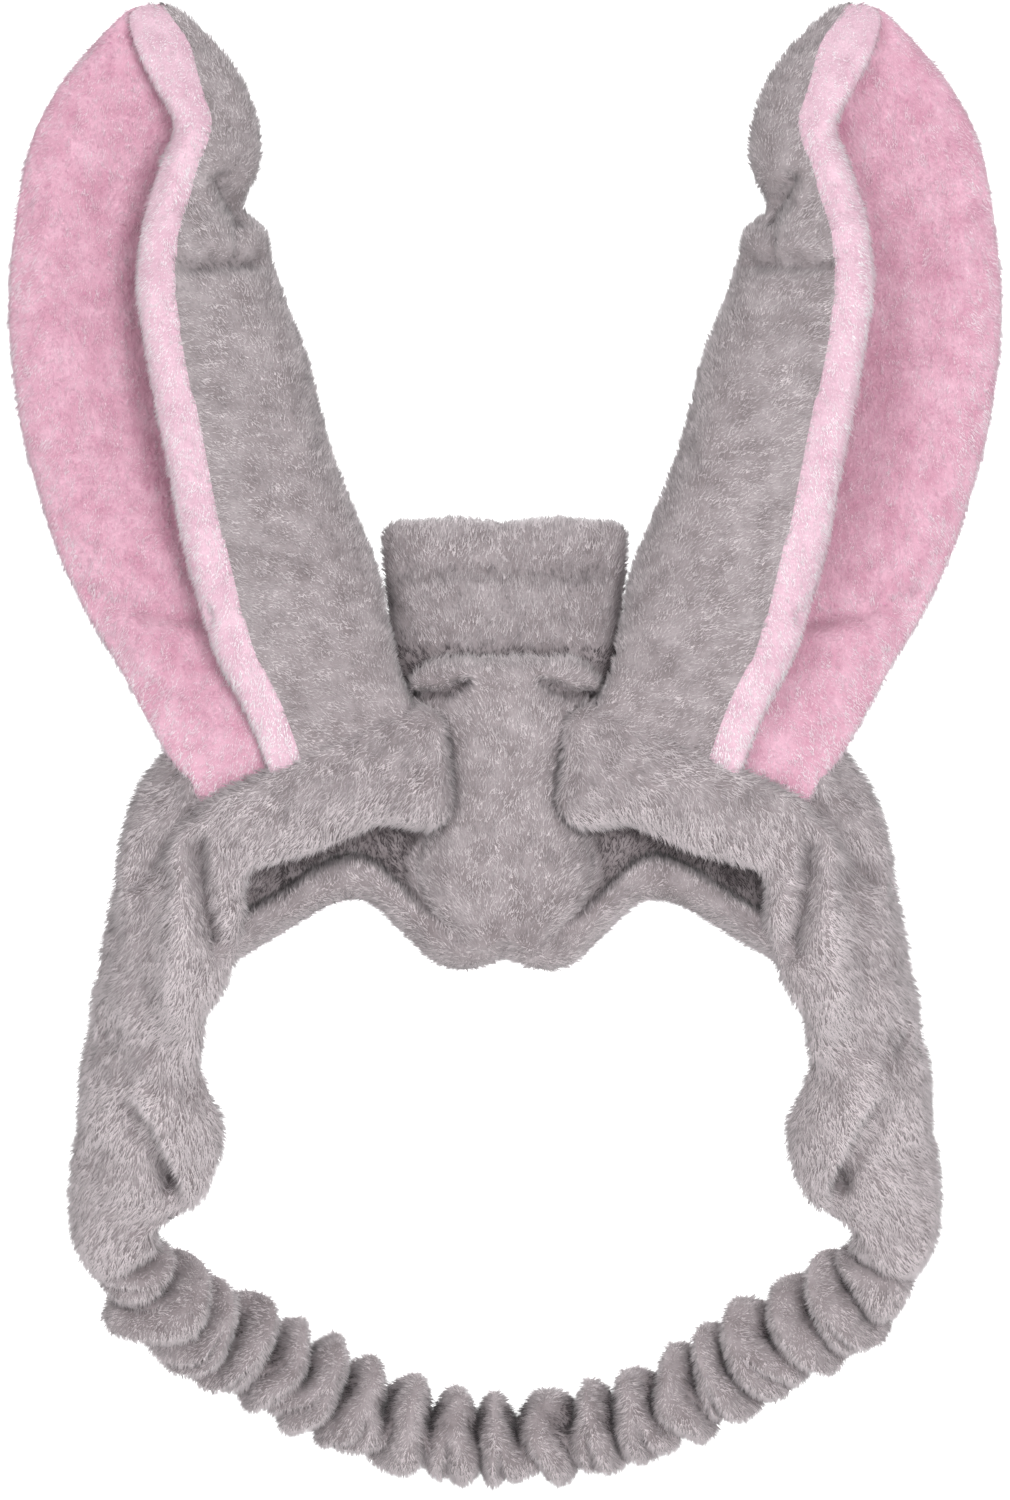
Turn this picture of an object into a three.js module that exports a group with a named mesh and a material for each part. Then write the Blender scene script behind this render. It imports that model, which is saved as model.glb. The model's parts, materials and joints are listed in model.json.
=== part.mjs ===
// A plush animal-ears headband: two cupped, padded ears on a padded band that passes over
// the head, closed behind by a gathered elastic. Millimetres, +Z up, the front faces -Y.
// The origin is where the wearer's head meets the inside of the band, between the ears.
import * as THREE from 'three';

// ---- Driving dimensions -------------------------------------------------------------
const GAP = 0.3;                    // left between neighbouring layers
const CLOTH_SHARE = 0.42;           // plush cloth, as a share of half the padded thickness
const SEAT_DEPTH = 9;               // from the ear seams back to where the head touches

const EAR_BASE = [-53, 0, 3];       // middle of the left ear's base seam
const SEAM_TILT = 0.435;            // the base seam climbs towards the middle, radians
const SEAM_RADIUS = 6;              // the sewn roll that the ear turns on
const SEAM_HALF_LENGTH = 29;
const EAR_CLEARANCE = 6.5;          // height of the ear's lower edge above the seam axis
const EAR_LEAN = 0.09;              // backward lean of the ears, rise over run
const CREASE_STATION = 5;           // the tip bends over at this station
const CREASE_GAP = 0.4 / 300;       // left on each side of that station, as a share of the ear
const EAR_EDGE_THINNING = 0.25;     // share of the thickness lost at the ear's two edges
const WIRE_RADIUS = 0.9;
const WIRE_PLACE = 0.035;           // the wire runs just inside the ear's outer edge
const WIRE_END = 0.01;              // and stops this share of the ear short of each end

const TUCK_HEIGHT = 19;             // where the crown panel is tucked into the forehead panel
const TUCK_GAP = 0.4;
const CROWN_TOP = 54;
const CROWN_FOOT_HALF_WIDTH = 20.5;
const CROWN_TOP_HALF_WIDTH = 27;
const CROWN_HALF_THICKNESS = 6;
const CROWN_FOOT_DEPTH = 6;
const CROWN_TOP_DEPTH = 20;
const CROWN_CURL = 1.4;             // above 1, the panel stands up before it leans back
const CROWN_BOW = 4;                // its sides lie this far behind its middle
const CROWN_EDGE_THINNING = 0.3;

const FOREHEAD_HALF_WIDTH = 64;
const FOREHEAD_HALF_THICKNESS = 5;
const FOREHEAD_BOW = 9;
const COLUMN_DEPTH = 4;             // the middle of the forehead panel stands forward
const COLUMN_STEP = 6;              // and falls back by this much
const COLUMN_FROM = 4;              // between these distances from the middle
const COLUMN_TO = 18;
const HEM_THINNING = 0.25;
const END_THINNING = 0.2;

const SIDE_BULGE = 3;               // the band is crowned towards the front
const BAND_HALF_THICKNESS = 4.8;    // the band under the ear
const STRAP_HALF_THICKNESS = 7.5;   // the strap below it
const SIDE_EDGE_THINNING = 0.3;
const ANCHOR_SIZE = [10, 2.4, 9];   // the stitched block that holds the elastic
const ANCHOR_PLACE = 0.945;         // how far down the strap it sits
const ANCHOR_TILT = 0.5;

const CASING_RADIUS = 10.5;         // gathered tube round the elastic
const CASING_BORE = 7;
const ELASTIC_WIDTH = 8;
const ELASTIC_THICKNESS = 1.2;
const NAPE_FROM = 0.405;            // where the nape section begins, along the elastic
const NAPE_GAP = 0.002;

const PLUSH_GREY = { color: 0xaea6a8, roughness: 0.95, metalness: 0 };
const PLUSH_PINK = { color: 0xe6b4cc, roughness: 0.95, metalness: 0 };
const LINING_GREY = { color: 0xa39b9e, roughness: 0.95, metalness: 0 };
const PADDING_WHITE = { color: 0xe9e6e0, roughness: 1, metalness: 0 };
const WIRE_STEEL = { color: 0x9a9a9c, roughness: 0.35, metalness: 1 };
const ELASTIC_WHITE = { color: 0xe4e2de, roughness: 0.8, metalness: 0 };
const THREAD_GREY = { color: 0x8f888b, roughness: 0.8, metalness: 0 };

// ---- Helpers ------------------------------------------------------------------------
const vector = (p) => new THREE.Vector3(...p);
const curve = (points) => new THREE.CatmullRomCurve3(points.map(vector));

function mesh(name, geometry, look) {
  const made = new THREE.Mesh(geometry, new THREE.MeshStandardMaterial(look));
  made.name = name;
  return made;
}

// The same shape on the other side of the middle plane, its faces still pointing out.
function mirrored(geometry) {
  const copy = geometry.index ? geometry.toNonIndexed() : geometry.clone();
  copy.scale(-1, 1, 1);
  for (const attribute of Object.values(copy.attributes)) {
    for (let corner = 0; corner < attribute.count; corner += 3) {
      for (let part = 0; part < attribute.itemSize; part += 1) {
        const kept = attribute.getComponent(corner + 1, part);
        attribute.setComponent(corner + 1, part, attribute.getComponent(corner + 2, part));
        attribute.setComponent(corner + 2, part, kept);
      }
    }
  }
  return copy;
}

const onSide = (side, geometry) => (side === 'left' ? geometry : mirrored(geometry));

// A closed layer of a curved padded sheet. middle(u, v) is a point of the sheet's middle
// surface, along(v) the direction its sections stand square to, and low and high say how
// far the layer's two faces lie from the middle surface. span is [u0, u1, v0, v1].
function layer(middle, along, low, high, span, across, lengthwise) {
  const [u0, u1, v0, v1] = span;
  const step = 1e-3;
  const positions = [];
  const index = [];
  const corner = (face, i, j) => (face * (lengthwise + 1) + j) * (across + 1) + i;
  for (const reach of [high, low]) {
    for (let j = 0; j <= lengthwise; j += 1) {
      for (let i = 0; i <= across; i += 1) {
        const u = u0 + ((u1 - u0) * i) / across;
        const v = v0 + ((v1 - v0) * j) / lengthwise;
        const tangent = middle(u + step, v).sub(middle(u - step, v));
        const normal = tangent.cross(along(v)).normalize();
        positions.push(...middle(u, v).addScaledVector(normal, reach(u, v)).toArray());
      }
    }
  }
  const quad = (a, b, c, d) => index.push(a, b, c, a, c, d);
  for (let j = 0; j < lengthwise; j += 1) {
    for (let i = 0; i < across; i += 1) {
      quad(corner(0, i, j), corner(0, i + 1, j), corner(0, i + 1, j + 1), corner(0, i, j + 1));
      quad(corner(1, i, j), corner(1, i, j + 1), corner(1, i + 1, j + 1), corner(1, i + 1, j));
    }
  }
  for (let i = 0; i < across; i += 1) {
    quad(corner(0, i, 0), corner(1, i, 0), corner(1, i + 1, 0), corner(0, i + 1, 0));
    quad(corner(0, i, lengthwise), corner(0, i + 1, lengthwise),
      corner(1, i + 1, lengthwise), corner(1, i, lengthwise));
  }
  for (let j = 0; j < lengthwise; j += 1) {
    quad(corner(0, 0, j), corner(0, 0, j + 1), corner(1, 0, j + 1), corner(1, 0, j));
    quad(corner(0, across, j), corner(1, across, j),
      corner(1, across, j + 1), corner(0, across, j + 1));
  }
  const geometry = new THREE.BufferGeometry();
  geometry.setAttribute('position', new THREE.Float32BufferAttribute(positions, 3));
  geometry.setIndex(index);
  geometry.computeVertexNormals();
  return geometry;
}

// The three layers of a padded sheet: the cloth on its + face, the cloth on its - face and
// the padding between them. half(u, v) is half its thickness. The padding stops short of
// the sheet's edges by whole cells of the grid: inset is [sides, start, end].
function paddedSheet(middle, along, half, span, inset, across, lengthwise) {
  const [u0, u1, v0, v1] = span;
  const [sides, start, end] = inset;
  const cloth = (u, v) => half(u, v) * CLOTH_SHARE;
  const inner = (u, v) => half(u, v) - cloth(u, v);
  const filling = (u, v) => inner(u, v) - GAP;
  const cellU = (u1 - u0) / across;
  const cellV = (v1 - v0) / lengthwise;
  const inside = [u0 + sides * cellU, u1 - sides * cellU, v0 + start * cellV, v1 - end * cellV];
  return {
    plus: layer(middle, along, inner, half, span, across, lengthwise),
    minus: layer(middle, along, (u, v) => -half(u, v), (u, v) => -inner(u, v), span,
      across, lengthwise),
    padding: layer(middle, along, (u, v) => -filling(u, v), filling, inside,
      across - 2 * sides, lengthwise - start - end),
  };
}

function polygon(radius, sides) {
  const points = [];
  for (let k = 0; k < sides; k += 1) {
    const angle = (2 * Math.PI * k) / sides;
    points.push(new THREE.Vector2(radius * Math.cos(angle), radius * Math.sin(angle)));
  }
  return points;
}

function swept(shape, path, steps) {
  return new THREE.ExtrudeGeometry(shape, { steps, extrudePath: path, bevelEnabled: false });
}

// ---- Ear ----------------------------------------------------------------------------
// Each station crosses the ear from its outer edge to the fold on its inner side and back
// to the free edge, which stands forward. Places are from the middle of the base seam.
const seamAlong = new THREE.Vector3(Math.cos(SEAM_TILT), 0, Math.sin(SEAM_TILT));
const seamUp = new THREE.Vector3(-Math.sin(SEAM_TILT), 0, Math.cos(SEAM_TILT));

function earFoot(reach, depth) {
  const point = seamAlong.clone().multiplyScalar(reach).addScaledVector(seamUp, EAR_CLEARANCE);
  return [point.x, depth, point.z];
}

const earOuter = curve([
  earFoot(-31, 6), [-44, 5, 18], [-56.5, 4, 37], [-66, 3, 70], [-69, 3, 95],
  [-69.5, 3, 116], [-66, 4, 139], [-57, 5, 160], [-44, 5, 176],
]);
const earFold = curve([
  earFoot(23, 0), [17.5, 0.5, 31], [14, 1, 47], [6, 2, 75], [-1.5, 2, 95],
  [-11, 2, 116], [-14.5, 2, 139], [-20, 2, 159], [-31, 2.5, 176],
]);
const earFree = curve([
  earFoot(-2, -6.5), [-12, -9, 25], [-21, -12, 47], [-27, -16, 75], [-30, -16, 95],
  [-31, -14, 116], [-26.5, -10, 139], [-27, -6, 159], [-37, -0.5, 176],
]);
// fold radius, half thickness, depth of the valley behind the free edge
const earSizes = curve([
  [6, 4.6, 6.5], [6.5, 5, 9], [7, 5.2, 11], [8, 5.4, 13], [8, 5.4, 13],
  [7.5, 5.2, 12], [6, 4.6, 10], [4.5, 3.4, 8], [2.2, 1.7, 5],
]);
const CREASE = CREASE_STATION / 8;
const VALLEY_SHARE = 0.55;

function earSection(v) {
  const outer = earOuter.getPoint(v);
  const fold = earFold.getPoint(v);
  const free = earFree.getPoint(v);
  const size = earSizes.getPoint(v);
  const valley = outer.clone().lerp(fold, VALLEY_SHARE);
  valley.y = size.z;
  const behind = fold.clone().add(vector([-size.x, size.x, 0]));
  const before = fold.clone().add(vector([-size.x, -size.x, 0]));
  const drop = fold.z - fold.clone().lerp(outer, size.x / Math.max(fold.x - outer.x, 1)).z;
  behind.z -= drop;
  before.z -= drop;
  return new THREE.CatmullRomCurve3([outer, valley, behind, fold, before, free]);
}

function earMiddle(u, v) {
  const point = earSection(v).getPoint(THREE.MathUtils.clamp(u, 0, 1));
  point.y += EAR_LEAN * point.z;
  return point;
}

function earAlong(v) {
  const upright = THREE.MathUtils.smoothstep(v, 0, 0.25);
  return seamUp.clone().lerp(new THREE.Vector3(0, 0, 1), upright).normalize();
}

const earHalf = (u, v) =>
  earSizes.getPoint(v).y * (1 - EAR_EDGE_THINNING * Math.abs(2 * u - 1) ** 4);

function earWire(from, to) {
  const points = [];
  for (let k = 0; k <= 6; k += 1) {
    points.push(earMiddle(WIRE_PLACE, from + ((to - from) * k) / 6));
  }
  return swept(new THREE.Shape(polygon(WIRE_RADIUS, 6)), new THREE.CatmullRomCurve3(points), 8);
}

function baseSeam() {
  const roll = new THREE.CylinderGeometry(SEAM_RADIUS, SEAM_RADIUS, 2 * SEAM_HALF_LENGTH, 14, 1);
  roll.rotateZ(-Math.PI / 2);
  roll.rotateY(-SEAM_TILT);
  return roll;
}

function earSegment(name, side, range, rows) {
  const span = [0, 1, ...range];
  const wire = earWire(range[0] + WIRE_END, range[1] - WIRE_END);
  const parts = paddedSheet(earMiddle, earAlong, earHalf, span, [1, 0, 0], 12, rows);
  return [
    mesh(name('liner'), onSide(side, parts.plus), PLUSH_PINK),
    mesh(name('back'), onSide(side, parts.minus), PLUSH_GREY),
    mesh(name('padding'), onSide(side, parts.padding), PADDING_WHITE),
    mesh(name('wire'), onSide(side, wire), WIRE_STEEL),
  ];
}

function ear(side) {
  const group = new THREE.Group();
  group.position.set(side === 'left' ? EAR_BASE[0] : -EAR_BASE[0], EAR_BASE[1], EAR_BASE[2]);
  group.add(...earSegment((part) => `ear_${side}_${part}`, side, [0, CREASE - CREASE_GAP], 7));
  group.add(...earSegment((part) => `ear_${side}_tip_${part}`, side, [CREASE + CREASE_GAP, 1], 4));
  group.add(mesh(`ear_${side}_base_seam`, onSide(side, baseSeam()), THREAD_GREY));
  return group;
}

// ---- Crown and forehead panels ------------------------------------------------------
const upright = () => new THREE.Vector3(0, 0, 1);

function crownMiddle(u, v) {
  const rise = THREE.MathUtils.clamp(v, 0, 1);
  const sideways = 2 * u - 1;
  const lean = CROWN_TOP_DEPTH - CROWN_FOOT_DEPTH;
  return new THREE.Vector3(
    sideways * THREE.MathUtils.lerp(CROWN_FOOT_HALF_WIDTH, CROWN_TOP_HALF_WIDTH, rise),
    CROWN_FOOT_DEPTH + lean * rise ** CROWN_CURL + CROWN_BOW * sideways ** 2,
    THREE.MathUtils.lerp(TUCK_HEIGHT + TUCK_GAP, CROWN_TOP, rise),
  );
}

const crownHalf = (u) =>
  CROWN_HALF_THICKNESS * (1 - CROWN_EDGE_THINNING * Math.abs(2 * u - 1) ** 4);

// Lower edge of the forehead panel, from the middle notch outwards: two rounded points, then
// a high arch over each brow, then down to where it passes behind the side panel.
const hemLine = curve([
  [0, 0, -54], [10, 0, -57.5], [19, 0, -52], [26, 0, -43.5], [33, 0, -39.5],
  [42, 0, -42], [53, 0, -48.5], [63, 0, -54],
]);
// Upper edge: the tuck, then down along the inside of the ear seams.
const brimLine = curve([
  [0, 0, 18.6], [9, 0, 18.6], [17, 0, 17.5], [24, 0, 0], [33, 0, -6],
  [42, 0, -10.5], [53, 0, -15.5], [63, 0, -20],
]);

function foreheadMiddle(u, v) {
  const sideways = THREE.MathUtils.clamp(2 * u - 1, -1, 1);
  const hem = hemLine.getPoint(Math.abs(sideways));
  const brim = brimLine.getPoint(Math.abs(sideways));
  const point = hem.lerp(brim, THREE.MathUtils.clamp(v, 0, 1));
  point.y = COLUMN_DEPTH
    + COLUMN_STEP * THREE.MathUtils.smoothstep(point.x, COLUMN_FROM, COLUMN_TO)
    + FOREHEAD_BOW * (point.x / FOREHEAD_HALF_WIDTH) ** 2;
  point.x *= Math.sign(sideways);
  return point;
}

const foreheadHalf = (u, v) =>
  FOREHEAD_HALF_THICKNESS * (1 - HEM_THINNING * Math.abs(2 * v - 1) ** 4) *
  (1 - END_THINNING * Math.abs(2 * u - 1) ** 6);

function panel(name, parts) {
  return [
    mesh(`${name}_outer`, parts.plus, PLUSH_GREY),
    mesh(`${name}_lining`, parts.minus, LINING_GREY),
    mesh(`${name}_padding`, parts.padding, PADDING_WHITE),
  ];
}

function crownPanel() {
  const span = [0, 1, 0, 1];
  return panel('crown_panel',
    paddedSheet(crownMiddle, upright, crownHalf, span, [1, 1, 1], 10, 6));
}

function foreheadPanel() {
  const span = [0, 1, 0, 1];
  return panel('forehead_panel',
    paddedSheet(foreheadMiddle, upright, foreheadHalf, span, [1, 1, 1], 24, 6));
}

// ---- Side panels: the band under each ear and the strap below it --------------------
const sideOuter = curve([
  [-15, -3, 3], [-29, -4, 5], [-46, -4, -3], [-63, -3, -11], [-80, 1, -18.5],
  [-95, 12, -38], [-101.5, 27, -66], [-105, 43, -92], [-103, 61, -125],
]);
const sideInner = curve([
  [-15, -3, -18], [-30, -4, -23], [-43, -4, -26.5], [-56, -3, -31], [-65, 0, -37],
  [-68, 4, -52], [-73.5, 18, -70], [-76, 35, -92], [-84, 55, -120],
]);

function sideMiddle(u, v) {
  const outer = sideOuter.getPoint(v);
  const inner = sideInner.getPoint(v);
  const point = outer.lerp(inner, u);
  point.y -= SIDE_BULGE * (1 - (2 * u - 1) ** 2);
  return point;
}

function sideAlong(v) {
  return sideOuter.getTangent(v).add(sideInner.getTangent(v)).normalize();
}

const sideHalf = (u, v) =>
  THREE.MathUtils.lerp(BAND_HALF_THICKNESS, STRAP_HALF_THICKNESS,
    THREE.MathUtils.smoothstep(v, 0.3, 0.7)) * (1 - SIDE_EDGE_THINNING * Math.abs(2 * u - 1) ** 4);

function sidePanel(side) {
  const parts =
    paddedSheet(sideMiddle, sideAlong, sideHalf, [0, 1, 0, 1], [1, 0, 2], 7, 18);
  const group = new THREE.Group();
  const seat = sideMiddle(0.5, ANCHOR_PLACE);
  const block = mesh(`elastic_anchor_${side}`, new THREE.BoxGeometry(...ANCHOR_SIZE), THREAD_GREY);
  block.position.set(side === 'left' ? seat.x : -seat.x, seat.y, seat.z);
  block.rotation.x = ANCHOR_TILT;
  group.add(
    mesh(`side_panel_${side}_outer`, onSide(side, parts.minus), PLUSH_GREY),
    mesh(`side_panel_${side}_lining`, onSide(side, parts.plus), LINING_GREY),
    mesh(`side_panel_${side}_padding`, onSide(side, parts.padding), PADDING_WHITE),
    block,
  );
  return group;
}

// ---- Gathered elastic ---------------------------------------------------------------
const elasticHalf = [
  [-92.5, 63.5, -132.5], [-85, 70, -143], [-72, 77, -152.5], [-51, 85, -163.5],
  [-31, 90.5, -172], [-12, 94, -176.6],
];
const elasticLine = curve([
  ...elasticHalf,
  ...elasticHalf.map(([x, y, z]) => [-x, y, z]).reverse(),
]);

function gatheredSection(from, to, steps) {
  const path = new THREE.Curve();
  path.getPoint = (t, target = new THREE.Vector3()) =>
    target.copy(elasticLine.getPointAt(from + (to - from) * t));
  const ring = new THREE.Shape(polygon(CASING_RADIUS, 14));
  ring.holes.push(new THREE.Path(polygon(CASING_BORE, 8)));
  const halfWidth = ELASTIC_WIDTH / 2;
  const halfThickness = ELASTIC_THICKNESS / 2;
  const tape = new THREE.Shape([
    new THREE.Vector2(-halfWidth, -halfThickness),
    new THREE.Vector2(halfWidth, -halfThickness),
    new THREE.Vector2(halfWidth, halfThickness),
    new THREE.Vector2(-halfWidth, halfThickness),
  ]);
  return { casing: swept(ring, path, steps), tape: swept(tape, path, steps) };
}

function elastic() {
  const group = new THREE.Group();
  for (const side of ['left', 'right']) {
    const parts = gatheredSection(0, NAPE_FROM - NAPE_GAP, 12);
    group.add(mesh(`casing_${side}`, onSide(side, parts.casing), PLUSH_GREY));
    group.add(mesh(`elastic_${side}`, onSide(side, parts.tape), ELASTIC_WHITE));
  }
  const nape = gatheredSection(NAPE_FROM, 1 - NAPE_FROM, 6);
  group.add(mesh('casing_nape', nape.casing, PLUSH_GREY));
  group.add(mesh('elastic_nape', nape.tape, ELASTIC_WHITE));
  return group;
}

// ---- Assembly -----------------------------------------------------------------------
const headband = new THREE.Group();
headband.position.y = -SEAT_DEPTH;
headband.add(ear('left'), ear('right'), ...crownPanel(), ...foreheadPanel());
headband.add(sidePanel('left'), sidePanel('right'), elastic());

const assembly = new THREE.Group();
assembly.add(headband);
export default assembly;
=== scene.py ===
"""A plush animal-ears headband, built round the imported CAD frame.

Shapes are worked out in millimetres, in the frame's axes (-Y to the front, +Z up), and
turned to metres where a mesh is made. Left means -X. The right side mirrors the left.
"""
import json
import math

import bpy
import numpy as np
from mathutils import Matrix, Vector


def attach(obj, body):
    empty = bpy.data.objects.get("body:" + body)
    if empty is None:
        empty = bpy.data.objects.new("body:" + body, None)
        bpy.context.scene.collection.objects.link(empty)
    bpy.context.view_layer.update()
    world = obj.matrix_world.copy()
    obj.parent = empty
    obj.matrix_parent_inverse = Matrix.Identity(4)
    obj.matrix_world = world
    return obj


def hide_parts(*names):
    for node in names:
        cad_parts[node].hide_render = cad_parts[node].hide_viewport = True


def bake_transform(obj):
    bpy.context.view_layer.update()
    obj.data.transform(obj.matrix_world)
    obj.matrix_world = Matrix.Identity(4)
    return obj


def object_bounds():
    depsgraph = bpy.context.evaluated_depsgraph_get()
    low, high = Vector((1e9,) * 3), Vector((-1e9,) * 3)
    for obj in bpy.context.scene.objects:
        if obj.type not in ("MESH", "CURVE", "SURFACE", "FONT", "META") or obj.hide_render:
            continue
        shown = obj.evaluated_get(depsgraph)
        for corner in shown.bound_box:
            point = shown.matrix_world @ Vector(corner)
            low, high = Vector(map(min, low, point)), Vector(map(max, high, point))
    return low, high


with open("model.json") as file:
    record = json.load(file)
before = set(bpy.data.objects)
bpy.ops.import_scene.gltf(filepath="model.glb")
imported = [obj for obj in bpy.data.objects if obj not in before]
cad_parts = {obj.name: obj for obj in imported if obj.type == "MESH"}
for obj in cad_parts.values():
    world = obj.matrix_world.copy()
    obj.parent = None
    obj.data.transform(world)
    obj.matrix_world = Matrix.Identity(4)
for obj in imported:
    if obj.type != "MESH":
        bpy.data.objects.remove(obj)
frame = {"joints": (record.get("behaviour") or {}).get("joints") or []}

MM = 0.001
CAD_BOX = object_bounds()
JOINTS = {joint["name"]: joint for joint in frame["joints"]}
CLOTH = 1.0                # thickness of the plush cloth's backing
PILE_DENSITY = 3.0       # spikes on each square millimetre
PILE_WIDTH = 0.13
PILE_ROOT = 0.35           # how deep in the cloth each spike starts
TUFT = 1.5                 # the pile gathers into tufts about this far apart
TUFT_PULL = 1.9            # how far the spikes lean into their tuft
TUFT_STEP = 0.3            # over which the tufts' slope is measured
RELAX_ROUNDS = 60


# ---- Small mathematics ---------------------------------------------------------------
def smooth(a, b, x):
    t = np.clip((x - a) / (b - a), 0.0, 1.0)
    return t * t * (3 - 2 * t)


def unit(v):
    return v / np.maximum(np.linalg.norm(v, axis=-1, keepdims=True), 1e-9)


def spline(points, t):
    """Points at t (0 to 1, stations evenly spread) on a Catmull-Rom curve through points."""
    points = np.asarray(points, float)
    if points.ndim == 1:
        points = points[:, None]
    last = len(points) - 1
    place = np.clip(np.asarray(t, float), 0, 1) * last
    i = np.minimum(place.astype(int), last - 1)
    f = (place - i)[..., None]
    padded = np.vstack([2 * points[0] - points[1], points, 2 * points[-1] - points[-2]])
    a, b, c, d = (padded[i + k] for k in range(4))
    return 0.5 * (2 * b + (c - a) * f + (2 * a - 5 * b + 4 * c - d) * f**2
                  + (3 * b - a - 3 * c + d) * f**3)


def respaced(points, count):
    """count points evenly along the polyline points, and its length."""
    step = np.linalg.norm(np.diff(points, axis=0), axis=1)
    run = np.concatenate([[0], np.cumsum(step)])
    want = np.linspace(0, 1, count) * run[-1]
    return np.stack([np.interp(want, run, points[:, k]) for k in range(3)], axis=1), run[-1]


def noise(points, size, seed):
    """Smooth noise from -1 to 1 with features about size across."""
    table = np.random.default_rng(seed).uniform(-1, 1, (32, 32, 32))
    place = np.asarray(points, float) / size + 100.0
    i = np.floor(place).astype(int)
    f = place - i
    f = f * f * (3 - 2 * f)
    total = 0.0
    for dx in (0, 1):
        for dy in (0, 1):
            for dz in (0, 1):
                share = (np.abs(1 - dx - f[..., 0]) * np.abs(1 - dy - f[..., 1])
                         * np.abs(1 - dz - f[..., 2]))
                total = total + share * table[(i[..., 0] + dx) % 32, (i[..., 1] + dy) % 32,
                                              (i[..., 2] + dz) % 32]
    return total


def near_line(points, line):
    """How far each point lies, seen from the front, from a line of (x, z) points."""
    flat = points[..., [0, 2]]
    nearest = np.full(flat.shape[:-1], 1e9)
    for start, end in zip(line[:-1], line[1:]):
        a, b = np.asarray(start, float), np.asarray(end, float)
        along = np.clip(((flat - a) @ (b - a)) / ((b - a) @ (b - a)), 0, 1)
        nearest = np.minimum(nearest, np.linalg.norm(flat - a - along[..., None] * (b - a), axis=-1))
    return nearest


def round_edge(distance, radius):
    """0 at an edge, rising as a quarter circle to 1 at radius from it."""
    share = np.clip(1 - distance / radius, 0, 1)
    return np.sqrt(1 - share**2)


def grid_normals(grid, wrap=False):
    """The unit normals of a grid of points. wrap joins its last column to its first."""
    if wrap:
        across = np.roll(grid, -1, 1) - np.roll(grid, 1, 1)
    else:
        across = np.gradient(grid, axis=1)
    return unit(np.cross(across, np.gradient(grid, axis=0)))


def edge_distance(grid, axis):
    """How far each point of a grid lies, along the cloth, from its first end and its last."""
    step = np.linalg.norm(np.diff(grid, axis=axis), axis=-1)
    run = np.cumsum(step, axis=axis)
    first = np.zeros_like(np.take(run, [0], axis=axis))
    run = np.concatenate([first, run], axis=axis)
    total = np.take(run, [-1], axis=axis)
    return run, total - run


def eased(count):
    """count shares from 0 to 1, closer together at both ends."""
    return 0.5 - 0.5 * np.cos(np.linspace(0, math.pi, count))


def pillow(middle, half, sides, start, end):
    """The front and back skins of a padded panel, half thick each way from its middle grid,
    rounded over the distance sides at its long edges and start and end at its ends."""
    left, right = edge_distance(middle, 1)
    low, high = edge_distance(middle, 0)
    swell = half * round_edge(np.minimum(left, right), sides)
    swell = swell * round_edge(low, start) * round_edge(high, end)
    reach = grid_normals(middle) * swell[..., None]
    return middle + reach, (middle - reach)[:, ::-1]


def relaxed(grid, share):
    """The grid with its inner points drawn between their neighbours, by share, so that the
    cloth lies smooth where it would crowd."""
    smoothed = grid.copy()
    for _ in range(RELAX_ROUNDS):
        smoothed[1:-1, 1:-1] = 0.25 * (smoothed[:-2, 1:-1] + smoothed[2:, 1:-1]
                                       + smoothed[1:-1, :-2] + smoothed[1:-1, 2:])
    return grid + (smoothed - grid) * share


def pushed(grid, lift):
    """The grid moved out along its normals by lift."""
    return grid + grid_normals(grid) * lift[..., None]


def groove(grid, line, depth, width):
    """The lift that presses a soft crease along a line, seen from the front."""
    facing = smooth(0, 0.5, -grid_normals(grid)[..., 1])
    return -depth * facing * np.exp(-(near_line(grid, line) / width) ** 2)


def skin_of(grid, wrap=False):
    """A grid with its normals beside it, so that pieces cut from it still match at the cut."""
    return np.concatenate([grid, grid_normals(grid, wrap)], axis=-1)


def mirrored(skin):
    """The skin on the other side of X = 0, still facing out."""
    return (skin * np.array([-1.0, 1, 1, -1, 1, 1]))[:, ::-1]


# ---- Materials -----------------------------------------------------------------------
def material(name):
    made = bpy.data.materials.new(name)
    made.use_nodes = True
    return made, made.node_tree, made.node_tree.nodes["Principled BSDF"]


BASE_SHEEN = 0.3
PILE_SHEEN = 0.25


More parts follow.
